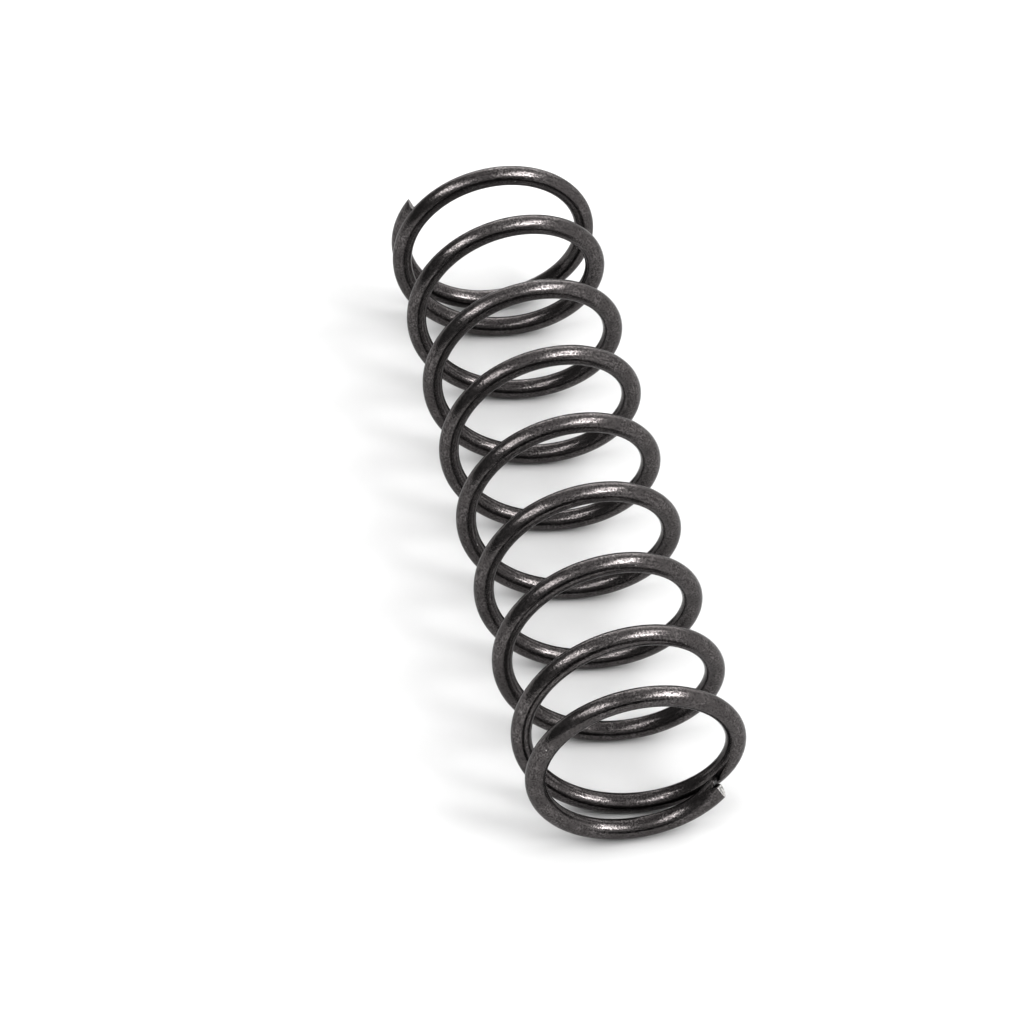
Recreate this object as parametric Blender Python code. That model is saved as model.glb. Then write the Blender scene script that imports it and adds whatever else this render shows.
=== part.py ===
"""Helical compression spring of round wire, lying on its side.

A right-hand helix with closed ends that are not ground. Both wire ends are sheared off at a slant.
Metres. +Y runs along the coil from the near end to the far end, +Z is up, and the coil rests on z = 0.
"""

import math

import bmesh
import bpy
from mathutils import Matrix, Vector

# Wire and coil: the mean diameter is measured between wire centres
WIRE_DIAMETER = 0.0020
MEAN_DIAMETER = 0.0200
FREE_LENGTH = 0.0743
TURNS = 9.5

# A cold-wound spring is uneven: its coil narrows towards the far end and in the middle, where it also
# bows to the left, and the left side of every turn leans away from the near end
FAR_NARROWING = 0.00011
MIDDLE_NARROWING = 0.00014
SIDE_BOW = 0.00033
TURN_LEAN = math.radians(2.1)

# Closed ends: the gap between each wire end and the turn beside it, and how far the end tucks inwards
NEAR_GAP = 0.00005
FAR_GAP = 0.00020
NEAR_TUCK = 0.00041
FAR_TUCK = 0.00026

# Turns from each wire end before the pitch starts to open, and the turns that it takes to open
NEAR_DEAD_TURNS = 0.04
NEAR_OPENING_TURNS = 1.47
FAR_DEAD_TURNS = 0.50
FAR_OPENING_TURNS = 1.10

# The near wire end's place round the coil, clockwise from the top, seen from the near end
NEAR_TIP_CLOCK = math.radians(122)

# The shears slant across the wire, so the near cut face leans outwards and the far one inwards
NEAR_SHEAR_LEAN = math.radians(30)
FAR_SHEAR_LEAN = math.radians(-22)

# The wire is drawn in straight facets of equal angle, and in each turn one of them lies flat on the floor
FACETS_PER_TURN = 45
WIRE_SIDES = 12

WIRE_RADIUS = WIRE_DIAMETER / 2
FACET_TURNS = 1 / FACETS_PER_TURN
SPARE_TURNS = 2 * WIRE_RADIUS * math.tan(NEAR_SHEAR_LEAN) / (math.pi * MEAN_DIAMETER)
SHARP_ANGLE = math.radians(40)

STEEL_COLOUR = (0.045, 0.043, 0.042, 1.0)
STEEL_ROUGHNESS = 0.42
STEEL_METALLIC = 0.85


def clear_scene():
    for item in list(bpy.data.objects):
        bpy.data.objects.remove(item, do_unlink=True)


def opened(turns, dead_turns, opening_turns):
    """Turns of full pitch that equal the opening wound so far, this many turns from a wire end."""
    share = min(max((turns - dead_turns) / opening_turns, 0), 1)
    after = max(turns - dead_turns - opening_turns, 0)
    return opening_turns * (share**3 - share**4 / 2) + after


def near_rise(turns, pitch):
    """Rise along the axis from the near wire end, whose first turn clears the end by its gap."""
    first = opened(1, NEAR_DEAD_TURNS, NEAR_OPENING_TURNS)
    closed_pitch = (WIRE_DIAMETER + NEAR_GAP - pitch * first) / (1 - first)
    wound = opened(turns, NEAR_DEAD_TURNS, NEAR_OPENING_TURNS)
    return closed_pitch * (turns - wound) + pitch * wound


def far_rise(turns, pitch):
    """Rise along the axis from the far wire end back towards the middle."""
    first = opened(1, FAR_DEAD_TURNS, FAR_OPENING_TURNS)
    closed_pitch = (WIRE_DIAMETER + FAR_GAP - pitch * first) / (1 - first)
    wound = opened(turns, FAR_DEAD_TURNS, FAR_OPENING_TURNS)
    return closed_pitch * (turns - wound) + pitch * wound


def rise_between_ends(pitch):
    return near_rise(TURNS / 2, pitch) + far_rise(TURNS / 2, pitch)


def full_pitch():
    """Open pitch that gives the free length: the length is a straight-line law of the pitch."""
    shut = rise_between_ends(0)
    gain = (rise_between_ends(FREE_LENGTH) - shut) / FREE_LENGTH
    return (FREE_LENGTH - WIRE_DIAMETER - shut) / gain


def wire_centre(turns, pitch):
    """Centre of the wire, with up on X, right on Y and the coil axis on Z."""
    if turns < TURNS / 2:
        along = near_rise(turns, pitch)
    else:
        along = rise_between_ends(pitch) - far_rise(TURNS - turns, pitch)
    share = 2 * turns / TURNS - 1
    middle = 1 - share**2
    narrowing = FAR_NARROWING * share + MIDDLE_NARROWING * middle
    tuck = NEAR_TUCK * max(1 - turns, 0) + FAR_TUCK * max(1 - TURNS + turns, 0)
    radius = MEAN_DIAMETER / 2 - narrowing - tuck
    clock = NEAR_TIP_CLOCK + math.tau * turns
    # A narrower turn lies lower, so every full turn touches the floor
    up = radius * math.cos(clock) - narrowing
    right = radius * math.sin(clock) - SIDE_BOW * middle
    return Vector((up, right, along - math.tan(TURN_LEAN) * right))


def facet_corners():
    """Turns at the corners of the wire's facets, one facet in each turn centred on the lowest point."""
    lowest = (math.pi - NEAR_TIP_CLOCK) / math.tau
    before = int(lowest / FACET_TURNS) + 1
    after = int((TURNS - lowest) / FACET_TURNS) + 1
    corners = [lowest + (step + 0.5) * FACET_TURNS for step in range(-before - 1, after + 1)]
    half = FACET_TURNS / 2
    inner = [turns for turns in corners if SPARE_TURNS + half < turns < TURNS - SPARE_TURNS - half]
    return [-SPARE_TURNS, SPARE_TURNS, *inner, TURNS - SPARE_TURNS, TURNS + SPARE_TURNS]


def wind_wire(collection, pitch):
    """The wire as a bevelled curve, laid down from standing on its near end."""
    curve = bpy.data.curves.new("spring", "CURVE")
    curve.dimensions = "3D"
    curve.twist_mode = "Z_UP"
    curve.bevel_depth = WIRE_RADIUS
    curve.bevel_resolution = WIRE_SIDES // 2 - 2
    curve.use_fill_caps = True
    corners = facet_corners()
    spline = curve.splines.new("POLY")
    spline.points.add(len(corners) - 1)
    for point, turns in zip(spline.points, corners):
        point.co = (*wire_centre(turns, pitch), 1)
    wire = bpy.data.objects.new("spring_wire", curve)
    wire.rotation_euler = (-math.pi / 2, -math.pi / 2, 0)
    collection.objects.link(wire)
    bpy.context.view_layer.update()
    return wire


def mesh_from_curve(wire, collection):
    """The wire as one closed mesh, with the curve's place in it."""
    depsgraph = bpy.context.evaluated_depsgraph_get()
    mesh = bpy.data.meshes.new_from_object(wire.evaluated_get(depsgraph))
    mesh.transform(wire.matrix_world)
    bpy.data.objects.remove(wire, do_unlink=True)
    spring = bpy.data.objects.new("spring", mesh)
    collection.objects.link(spring)
    return spring


def shear_end(bm, tip, outwards, face_normal, gap):
    """Cuts one wire end off along a slanting plane, without touching the turn beside it."""

    def on_this_end(vert):
        offset = vert.co - tip
        along = offset.dot(outwards)
        aside = (offset - outwards * along).length
        return abs(along) < 2 * WIRE_DIAMETER and aside < WIRE_RADIUS + gap / 2

    faces = [face for face in bm.faces if all(on_this_end(vert) for vert in face.verts)]
    edges = {edge for face in faces for edge in face.edges}
    verts = {vert for face in faces for vert in face.verts}
    bmesh.ops.bisect_plane(
        bm,
        geom=[*verts, *edges, *faces],
        dist=WIRE_RADIUS / 1000,
        plane_co=tip,
        plane_no=face_normal,
        clear_outer=True,
    )
    rim = [edge for edge in bm.edges if edge.is_boundary]
    bmesh.ops.edgeloop_fill(bm, edges=rim)


def shear_both_ends(spring, pitch):
    """Shears the near and the far wire end."""
    bm = bmesh.new()
    bm.from_mesh(spring.data)
    bmesh.ops.remove_doubles(bm, verts=bm.verts, dist=WIRE_RADIUS / 1000)
    lay_down = Matrix(((0, 1, 0), (0, 0, 1), (1, 0, 0)))
    axis = Vector((0, 1, 0))
    ends = (
        (0, -SPARE_TURNS, NEAR_SHEAR_LEAN, NEAR_GAP),
        (TURNS, SPARE_TURNS, FAR_SHEAR_LEAN, FAR_GAP),
    )
    for turns, spare, lean, gap in ends:
        outer = lay_down @ wire_centre(turns + spare, pitch)
        inner = lay_down @ wire_centre(turns - spare, pitch)
        tip = (outer + inner) / 2
        outwards = (outer - inner).normalized()
        radial = tip - axis * tip.dot(axis)
        radial = (radial - outwards * radial.dot(outwards)).normalized()
        face_normal = outwards * math.cos(lean) + radial * math.sin(lean)
        shear_end(bm, tip, outwards, face_normal, gap)
    bmesh.ops.recalc_face_normals(bm, faces=bm.faces)
    bm.to_mesh(spring.data)
    bm.free()


def rest_on_floor(spring):
    """Centres the spring over the origin and rests its lowest facets on the floor."""
    corners = [vert.co for vert in spring.data.vertices]
    low = Vector([min(corner[axis] for corner in corners) for axis in range(3)])
    high = Vector([max(corner[axis] for corner in corners) for axis in range(3)])
    middle = (low + high) / 2
    spring.data.transform(Matrix.Translation((-middle.x, -middle.y, -low.z)))


def oiled_steel():
    material = bpy.data.materials.new("oiled_spring_steel")
    material.use_nodes = True
    shader = material.node_tree.nodes["Principled BSDF"]
    shader.inputs["Base Color"].default_value = STEEL_COLOUR
    shader.inputs["Roughness"].default_value = STEEL_ROUGHNESS
    shader.inputs["Metallic"].default_value = STEEL_METALLIC
    return material


def build():
    clear_scene()
    collection = bpy.data.collections.new("compression_spring")
    bpy.context.scene.collection.children.link(collection)
    pitch = full_pitch()
    wire = wind_wire(collection, pitch)
    spring = mesh_from_curve(wire, collection)
    shear_both_ends(spring, pitch)
    rest_on_floor(spring)
    spring.data.materials.append(oiled_steel())
    spring.data.shade_smooth()
    spring.data.set_sharp_from_angle(angle=SHARP_ANGLE)


build()
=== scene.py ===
"""Looks of a helical compression spring of round wire, lying on its side on a white floor.

Metres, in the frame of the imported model: +Y runs along the coil from its near end, and +Z is up.
"""

import math

import bpy
import numpy as np
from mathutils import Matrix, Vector


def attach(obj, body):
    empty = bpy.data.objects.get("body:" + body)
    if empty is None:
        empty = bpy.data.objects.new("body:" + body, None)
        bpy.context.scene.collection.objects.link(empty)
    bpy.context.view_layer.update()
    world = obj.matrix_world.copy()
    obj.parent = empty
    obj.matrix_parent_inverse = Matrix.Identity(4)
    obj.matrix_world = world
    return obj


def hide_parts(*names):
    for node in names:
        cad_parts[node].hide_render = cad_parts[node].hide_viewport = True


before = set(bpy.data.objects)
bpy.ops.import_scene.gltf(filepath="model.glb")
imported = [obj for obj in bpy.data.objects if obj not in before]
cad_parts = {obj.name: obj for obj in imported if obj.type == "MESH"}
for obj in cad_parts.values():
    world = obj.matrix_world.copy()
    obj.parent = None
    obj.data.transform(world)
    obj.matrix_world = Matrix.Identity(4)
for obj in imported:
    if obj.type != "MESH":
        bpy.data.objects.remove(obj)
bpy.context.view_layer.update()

# The camera looks down on the lying spring from beyond its near end and a little to its left,
# through a long lens, so the far coils look only a little smaller than the near ones.
CAMERA_PLACE = Vector((-0.063075, -0.292187, 0.356247))
CAMERA_AIM = Vector((-0.005333, -0.002497, 0.011))
CAMERA_LENS_MM = 159.80
CAMERA_SENSOR_MM = 36.0
NEAREST_SEEN = 0.01

bpy.ops.object.select_all(action="DESELECT")
bpy.ops.object.camera_add(
    location=CAMERA_PLACE,
    rotation=(CAMERA_AIM - CAMERA_PLACE).to_track_quat("-Z", "Y").to_euler(),
)
camera = bpy.context.object
camera.name = "camera"
camera.data.lens = CAMERA_LENS_MM
camera.data.sensor_width = CAMERA_SENSOR_MM
camera.data.clip_start = NEAREST_SEEN
bpy.context.scene.camera = camera

# Two wide softboxes light the table, one on each side and both a little nearer than the spring. A
# smaller one in front, on the right, draws the streaked shadows of the coils away to the left.
LIGHT_AIM = Vector((0.0, 0.0, 0.010))
TONE_GAMMA = 0.66


def add_softbox(name, azimuth, elevation, distance, width, height, power):
    """A softbox that faces the spring, from an azimuth clockwise from +Y seen from above."""
    turn = math.radians(azimuth)
    lift = math.radians(elevation)
    away = Vector((math.sin(turn) * math.cos(lift), math.cos(turn) * math.cos(lift), math.sin(lift)))
    bpy.ops.object.light_add(
        type="AREA",
        location=LIGHT_AIM + away * distance,
        rotation=(-away).to_track_quat("-Z", "Y").to_euler(),
    )
    softbox = bpy.context.object
    softbox.name = name
    softbox.data.shape = "RECTANGLE"
    softbox.data.size = width
    softbox.data.size_y = height
    softbox.data.energy = power


add_softbox("right_softbox", 112, 51, 0.66, 0.58, 0.26, 2.15)
add_softbox("front_softbox", 130, 37, 0.75, 0.17, 0.17, 0.95)
add_softbox("left_softbox", -112, 53, 0.90, 0.86, 0.36, 3.8)

bpy.context.scene.view_settings.view_transform = "Standard"
bpy.context.scene.view_settings.gamma = TONE_GAMMA


class Value:
    """A value that changes over a surface: an operator on it adds the node that works it out."""

    def __init__(self, tree, socket):
        self.tree = tree
        self.socket = socket

    def node(self, kind, settings=None, inputs=None, output=0):
        """A node of this kind, with its settings set before the values or links of its sockets."""
        made = self.tree.nodes.new(kind)
        for name, setting in (settings or {}).items():
            setattr(made, name, setting)
        for name, value in (inputs or {}).items():
            if isinstance(value, Value):
                self.tree.links.new(value.socket, made.inputs[name])
            else:
                made.inputs[name].default_value = value
        return Value(self.tree, made.outputs[output])

    def maths(self, operation, first, second):
        return self.node("ShaderNodeMath", {"operation": operation}, {0: first, 1: second})

    def __add__(self, other):
        return self.maths("ADD", self, other)

    def __radd__(self, other):
        return self.maths("ADD", other, self)

    def __rsub__(self, other):
        return self.maths("SUBTRACT", other, self)

    def __mul__(self, other):
        return self.maths("MULTIPLY", self, other)

    def __rmul__(self, other):
        return self.maths("MULTIPLY", other, self)

    def between(self, low, high):
        """0 below the low value, 1 above the high one, and a smooth step from one to the other."""
        return self.node(
            "ShaderNodeMapRange",
            {"interpolation_type": "SMOOTHSTEP"},
            {"Value": self, "From Min": low, "From Max": high},
        )

    def towards(self, side):
        """1 where this direction points to the side, and -1 where it points away from it."""
        return self.node(
            "ShaderNodeVectorMath", {"operation": "DOT_PRODUCT"}, {0: self, 1: side}, output="Value"
        )

    def stretched(self, scale):
        """This place with each of its three measures scaled."""
        return self.node("ShaderNodeVectorMath", {"operation": "MULTIPLY"}, {0: self, 1: scale})

    def grain(self, scale, detail=2.0, roughness=0.5):
        """Noise from 0 to 1 at this place."""
        return self.node(
            "ShaderNodeTexNoise",
            {"noise_dimensions": "3D"},
            {"Vector": self, "Scale": scale, "Detail": detail, "Roughness": roughness},
        )

    def mixed(self, first, second):
        """A colour that goes from the first to the second as this value goes from 0 to 1."""
        return self.node(
            "ShaderNodeMix",
            {"data_type": "RGBA", "clamp_factor": True},
            {0: self, 6: first, 7: second},
            output=2,
        )


# The room is pale to the right and overhead, dim to the left, and dark low down behind the camera. A
# white wall stands beyond the far end of the spring. The camera itself sees a plain pale backdrop.
BRIGHT_SIDE = (0.90, 0.0, 0.43)
DARK_SIDE = (0.05, -0.99, -0.10)
WALL_SIDE = (0.28, 0.957, 0.07)
WALL_LIGHT = (2.9, 2.9, 2.9, 1.0)
ROOM_LIGHT = (1.30, 1.30, 1.30, 1.0)
DIM_SIDE = (0.15, 0.15, 0.15, 1.0)
DARK_CORNER = (0.02, 0.02, 0.02, 1.0)
BACKDROP = (0.90, 0.90, 0.90, 1.0)

# How squarely a direction faces each side where that side begins and where it is full
BRIGHT_EDGES = (-1.3, 1.0)
WALL_EDGES = (0.72, 0.98)
DARK_EDGES = (0.80, 0.96)

room = bpy.data.worlds.new("room")
room.use_nodes = True
sky = Value(room.node_tree, None)
view = sky.node("ShaderNodeTexCoord", output="Generated")
light = view.towards(BRIGHT_SIDE).between(*BRIGHT_EDGES).mixed(DIM_SIDE, ROOM_LIGHT)
light = view.towards(WALL_SIDE).between(*WALL_EDGES).mixed(light, WALL_LIGHT)
light = view.towards(DARK_SIDE).between(*DARK_EDGES).mixed(light, DARK_CORNER)
light = sky.node("ShaderNodeLightPath", output="Is Camera Ray").mixed(light, BACKDROP)
room.node_tree.links.new(light.socket, room.node_tree.nodes["Background"].inputs["Color"])
bpy.context.scene.world = room

# The floor is a sheet of smooth white card.
FLOOR_SIZE = 3.0
FLOOR_COLOUR = (0.68, 0.68, 0.68, 1.0)
FLOOR_ROUGHNESS = 0.9
FLOOR_SHINE = 0.1

bpy.ops.object.select_all(action="DESELECT")
bpy.ops.mesh.primitive_plane_add(size=FLOOR_SIZE)
floor = bpy.context.object
floor.name = "white_floor"
card = bpy.data.materials.new("white_card")
card.use_nodes = True
card_shader = card.node_tree.nodes["Principled BSDF"]
card_shader.inputs["Base Color"].default_value = FLOOR_COLOUR
card_shader.inputs["Roughness"].default_value = FLOOR_ROUGHNESS
card_shader.inputs["Specular IOR Level"].default_value = FLOOR_SHINE
floor.data.materials.append(card)

# The spring is one length of round spring steel, drawn through a die, oil tempered dark and wound
# cold on a mandrel to a right-hand helix. Its end turns are wound almost closed, and not ground.
WIRE_RADIUS = 0.0010
MEAN_DIAMETER = 0.0200
FREE_LENGTH = 0.0743
TURNS = 9.5
FAR_NARROWING = 0.00011
MIDDLE_NARROWING = 0.00014
SIDE_BOW = 0.00033
TURN_LEAN = math.radians(2.1)
NEAR_GAP = 0.00005
FAR_GAP = 0.00020
NEAR_TUCK = 0.00041
FAR_TUCK = 0.00026
NEAR_DEAD_TURNS = 0.04
NEAR_OPENING_TURNS = 1.47
FAR_DEAD_TURNS = 0.50
FAR_OPENING_TURNS = 1.10
NEAR_TIP_CLOCK = math.radians(122)
AXIS_PLACE = np.array((0.000159, -0.036149, 0.0110))
HEADING_STEP = 1e-4


def opened(turns, dead_turns, opening_turns):
    """Turns of full pitch that equal the opening wound so far, this many turns from a wire end."""
    share = np.clip((turns - dead_turns) / opening_turns, 0, 1)
    after = np.maximum(turns - dead_turns - opening_turns, 0)
    return opening_turns * (share**3 - share**4 / 2) + after


def end_rise(turns, pitch, gap, dead_turns, opening_turns):
    """Rise along the axis from a wire end, whose first turn clears the end by the gap."""
    first = opened(1, dead_turns, opening_turns)
    closed_pitch = (2 * WIRE_RADIUS + gap - pitch * first) / (1 - first)
    wound = opened(turns, dead_turns, opening_turns)
    return closed_pitch * (turns - wound) + pitch * wound


def near_rise(turns, pitch):
    return end_rise(turns, pitch, NEAR_GAP, NEAR_DEAD_TURNS, NEAR_OPENING_TURNS)


def far_rise(turns, pitch):
    return end_rise(turns, pitch, FAR_GAP, FAR_DEAD_TURNS, FAR_OPENING_TURNS)


def rise_between_ends(pitch):
    return near_rise(TURNS / 2, pitch) + far_rise(TURNS / 2, pitch)


shut = rise_between_ends(0)
gain = (rise_between_ends(FREE_LENGTH) - shut) / FREE_LENGTH
PITCH = (FREE_LENGTH - 2 * WIRE_RADIUS - shut) / gain
RISE = rise_between_ends(PITCH)


def wire_centre(turns):
    """Centre of the wire, as rows of X, Y and Z."""
    along = np.where(turns < TURNS / 2, near_rise(turns, PITCH), RISE - far_rise(TURNS - turns, PITCH))
    share = 2 * turns / TURNS - 1
    middle = 1 - share**2
    narrowing = FAR_NARROWING * share + MIDDLE_NARROWING * middle
    tuck = NEAR_TUCK * np.maximum(1 - turns, 0) + FAR_TUCK * np.maximum(1 - TURNS + turns, 0)
    radius = MEAN_DIAMETER / 2 - narrowing - tuck
    clock = NEAR_TIP_CLOCK + math.tau * turns
    # A narrower turn lies lower, so every full turn touches the floor
    up = radius * np.cos(clock) - narrowing
    right = radius * np.sin(clock) - SIDE_BOW * middle
    return np.stack((right, along - math.tan(TURN_LEAN) * right, up), axis=-1) + AXIS_PLACE


def unit(vectors):
    return vectors / np.linalg.norm(vectors, axis=-1, keepdims=True)


def wire_frame(turns):
    """Centre of the wire, and the directions outwards from the coil axis and along it, across the wire."""
    centre = wire_centre(turns)
    heading = unit(wire_centre(turns + HEADING_STEP) - wire_centre(turns - HEADING_STEP))
    outwards = centre - AXIS_PLACE
    outwards[..., 1] = 0
    outwards = unit(outwards - heading * np.sum(outwards * heading, axis=-1, keepdims=True))
    return centre, outwards, np.cross(heading, outwards)


# Rows of the straight wire: round each face from its middle, over its rim, and along the wire
SIDES = 60
FACE_ROWS = 10
RIM_ROWS = 5
END_ROWS = 12
ROWS_PER_TURN = 160
END_LENGTH = 0.0016

# The shears slant across the wire. Each one rolls the rim over on one side and leaves it sharp opposite
NEAR_SHEAR_LEAN = math.radians(30)
FAR_SHEAR_LEAN = math.radians(-22)
NEAR_BURR_SIDE = math.radians(52)
FAR_BURR_SIDE = math.radians(-50)
ROLLED_RIM = 0.00022
BURR_RIM = 0.00003

# One side of the far face has fallen back, and that face is duller than the near one
FAR_FALL_SIDE = math.radians(-115)
FAR_FALL = 0.00045
FAR_SHINE = 0.35

# The lip of the near face, the hollow below it, where the bright part of the face ends, and the tear.
# Places on the face run from -1 to 1 across it, towards the lip
LIP_SIDE = math.radians(226)
LIP_START = 0.70
LIP_LENGTH = 0.00020
LIP_SWELL = 0.00027
LIP_SWELL_LENGTH = 0.0028
HOLLOW_PLACE = 0.46
HOLLOW_WIDTH = 0.18
HOLLOW_DEPTH = 0.00035
SHINE_EDGE = 0.30
SHINE_FADE = 0.12
TEAR_SIDE = math.radians(164)
TEAR_LENGTH = 0.00085
TEAR_WIDTH = 0.00010
TEAR_DEPTH = 0.00015
TEAR_FADE = 1.5

coil_row_count = int(ROWS_PER_TURN * TURNS)
closing_rows = FACE_ROWS + RIM_ROWS + END_ROWS
row_count = coil_row_count + 2 * closing_rows

bpy.ops.object.select_all(action="DESELECT")
bpy.ops.mesh.primitive_grid_add(x_subdivisions=row_count, y_subdivisions=SIDES, size=1)
wire = bpy.context.object
wire.name = "spring_wire"
wire.data.name = "spring_wire"
flat = np.empty(len(wire.data.vertices) * 3)
wire.data.vertices.foreach_get("co", flat)
flat = flat.reshape(-1, 3)
row = np.rint((flat[:, 0] + 0.5) * row_count).astype(int)
angle = (flat[:, 1] + 0.5) * math.tau

# Each row is counted from the wire end that it is nearer to
from_far = row > row_count / 2
step_in = np.where(from_far, row_count - row, row)
slope = np.tan(np.where(from_far, FAR_SHEAR_LEAN, NEAR_SHEAR_LEAN)) * np.cos(angle)
burr_side = np.where(from_far, FAR_BURR_SIDE, NEAR_BURR_SIDE)
rim = BURR_RIM + (ROLLED_RIM - BURR_RIM) * (0.5 - 0.5 * np.cos(angle - burr_side))
face_share = np.clip(step_in / FACE_ROWS, 0, 1)
rim_share = np.clip((step_in - FACE_ROWS) / RIM_ROWS, 0, 1)
end_share = np.clip((step_in - FACE_ROWS - RIM_ROWS) / END_ROWS, 0, 1)
rim_turn = rim_share * math.pi / 2
reach = (WIRE_RADIUS - rim) * face_share + rim * np.sin(rim_turn)
fall = np.where(from_far, FAR_FALL * np.maximum(np.cos(angle - FAR_FALL_SIDE), 0) ** 3, 0)
face_back = slope * reach + rim * (1 - np.cos(rim_turn)) + fall * reach / WIRE_RADIUS
set_back = face_back * (1 - end_share) + END_LENGTH * end_share

# The near face is torn hollow below a lip on its upper side. The lip stands out past the face and swells
# the wire, and the tear runs a little up it.
lip_share = np.where(from_far, -1, reach * np.cos(angle - LIP_SIDE) / WIRE_RADIUS)
lip = np.clip((lip_share - LIP_START) / (1 - LIP_START), 0, 1)
hollow = np.exp(-(((lip_share - HOLLOW_PLACE) / HOLLOW_WIDTH) ** 2)) * (1 - end_share) ** 4
up_wire = np.maximum(set_back - face_back, 0) / TEAR_LENGTH
off_tear = (angle - TEAR_SIDE) * WIRE_RADIUS / TEAR_WIDTH
tear = np.exp(-(off_tear**2)) * np.clip(TEAR_FADE * (1 - up_wire), 0, 1) * rim_share
tear = np.where(from_far, 0, tear)
set_back = set_back + HOLLOW_DEPTH * hollow - LIP_LENGTH * lip * (1 - end_share) ** 2
turn_length = math.pi * MEAN_DIAMETER
end_turns = END_LENGTH / turn_length
coil_share = (row - closing_rows) / coil_row_count
turns = np.where(
    step_in <= closing_rows,
    np.where(from_far, TURNS - set_back / turn_length, set_back / turn_length),
    end_turns + (TURNS - 2 * end_turns) * coil_share,
)
up_wire = np.where(from_far, np.inf, turns * turn_length / LIP_SWELL_LENGTH)
swell = np.maximum(np.cos(angle - LIP_SIDE), 0) ** 4 * np.exp(-(up_wire**2)) * face_share**4
reach = reach + LIP_SWELL * swell - TEAR_DEPTH * tear
centre, outwards, beside = wire_frame(turns)
wound = centre + reach[:, None] * (
    np.cos(angle)[:, None] * outwards + np.sin(angle)[:, None] * beside
)
wire.data.vertices.foreach_set("co", wound.ravel())


def store(name, kind, field, values):
    """Keeps a value for each point of the wire, from which its finish is laid out."""
    attribute = wire.data.attributes.new(name, kind, "POINT")
    attribute.data.foreach_set(field, np.ravel(values))


# The place of each point on the straight wire, how far its face is bright bare steel, and how far the
# hollow and the tear of the near face are painted near black as shade
MM = 1000
drawn = np.stack((turns * turn_length, reach * np.cos(angle), reach * np.sin(angle)), axis=-1)
sheared = (step_in <= FACE_ROWS) * np.clip((SHINE_EDGE - lip_share) / SHINE_FADE, 0, 1)
store("drawn_mm", "FLOAT_VECTOR", "vector", drawn * MM)
store("sheared", "FLOAT", "value", sheared * np.where(from_far, FAR_SHINE, 1))
# Painted shade: the hollow and the tear of the near face are marked here to be coloured near black
store("painted_tear_shade", "FLOAT", "value", np.maximum(hollow, tear))
wire.data.update()

# The grid's long edges meet along the wire, and its short ones close to a point at each face's middle
WELD_DISTANCE = 1e-7
bpy.ops.object.mode_set(mode="EDIT")
bpy.ops.mesh.select_all(action="SELECT")
bpy.ops.mesh.remove_doubles(threshold=WELD_DISTANCE)
bpy.ops.mesh.normals_make_consistent(inside=False)
bpy.ops.object.mode_set(mode="OBJECT")
bpy.ops.object.shade_smooth()

# Oil-tempered wire is dark grey with a warm cast, satin and finely pitted, with die lines along it.
DARK_OXIDE = (0.090, 0.085, 0.0845, 1.0)
OILED_STEEL = (0.149, 0.140, 0.1395, 1.0)
WORN_STEEL = (0.236, 0.2235, 0.2225, 1.0)
BARE_STEEL = (0.80, 0.79, 0.78, 1.0)
SHEARED_STEEL = (0.24, 0.233, 0.227, 1.0)
# Near black, painted as shade into the hollow and the tear of the near face
TEAR_PAINTED_SHADE = (0.004, 0.004, 0.004, 1.0)
DULL_EDGES = (0.80, 0.80, 0.80, 1.0)

# Grains in each millimetre, along the wire and in the two directions across it
SPECKS = (4.5, 5.0, 5.0)
DIE_LINES = (1.1, 5.0, 5.0)
SCUFFS = (1.5, 3.0, 3.0)
BLOTCHES = 0.6
BUMP_DEPTH = 0.000026

steel = bpy.data.materials.new("oil_tempered_steel")
steel.use_nodes = True
shader = steel.node_tree.nodes["Principled BSDF"]
start = Value(steel.node_tree, None)
place = start.node("ShaderNodeAttribute", {"attribute_name": "drawn_mm"}, output="Vector")
sheared = start.node("ShaderNodeAttribute", {"attribute_name": "sheared"}, output="Fac")
painted_tear_shade = start.node("ShaderNodeAttribute", {"attribute_name": "painted_tear_shade"}, output="Fac")
specks = place.stretched(SPECKS).grain(1.0, detail=3.0, roughness=0.65)
die_lines = place.stretched(DIE_LINES).grain(1.0, detail=3.0, roughness=0.6)
blotches = place.grain(BLOTCHES, detail=3.0, roughness=0.6)
scuffs = place.stretched(SCUFFS).grain(1.0)
pits = 0.7 * specks + 0.3 * die_lines
oiled = pits.between(0.38, 0.52)
worn = blotches.between(0.38, 0.62) * pits.between(0.47, 0.60)
colour = oiled.mixed(DARK_OXIDE, OILED_STEEL)
colour = worn.mixed(colour, WORN_STEEL)
colour = (scuffs.between(0.74, 0.80) * 0.7).mixed(colour, BARE_STEEL)
bare = (0.6 * specks + 0.4 * scuffs).between(0.38, 0.56).mixed(SHEARED_STEEL, BARE_STEEL)
colour = sheared.mixed(colour, bare)
# Painted shade: the hollow and the tear of the near face go near black
colour = painted_tear_shade.between(0.25, 0.85).mixed(colour, TEAR_PAINTED_SHADE)
rough = 0.13 - 0.03 * worn + 0.06 * blotches + 0.24 * sheared
height = specks * (0.85 + 1.2 * sheared) + die_lines * 0.25
bump = height.node(
    "ShaderNodeBump", inputs={"Strength": 1.0, "Distance": BUMP_DEPTH, "Height": height}
)
links = steel.node_tree.links
links.new(colour.socket, shader.inputs["Base Color"])
links.new(rough.socket, shader.inputs["Roughness"])
links.new(bump.socket, shader.inputs["Normal"])
shader.inputs["Metallic"].default_value = 1.0
shader.inputs["Specular Tint"].default_value = DULL_EDGES
wire.data.materials.append(steel)

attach(wire, "root")
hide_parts("spring")

bpy.context.view_layer.update()
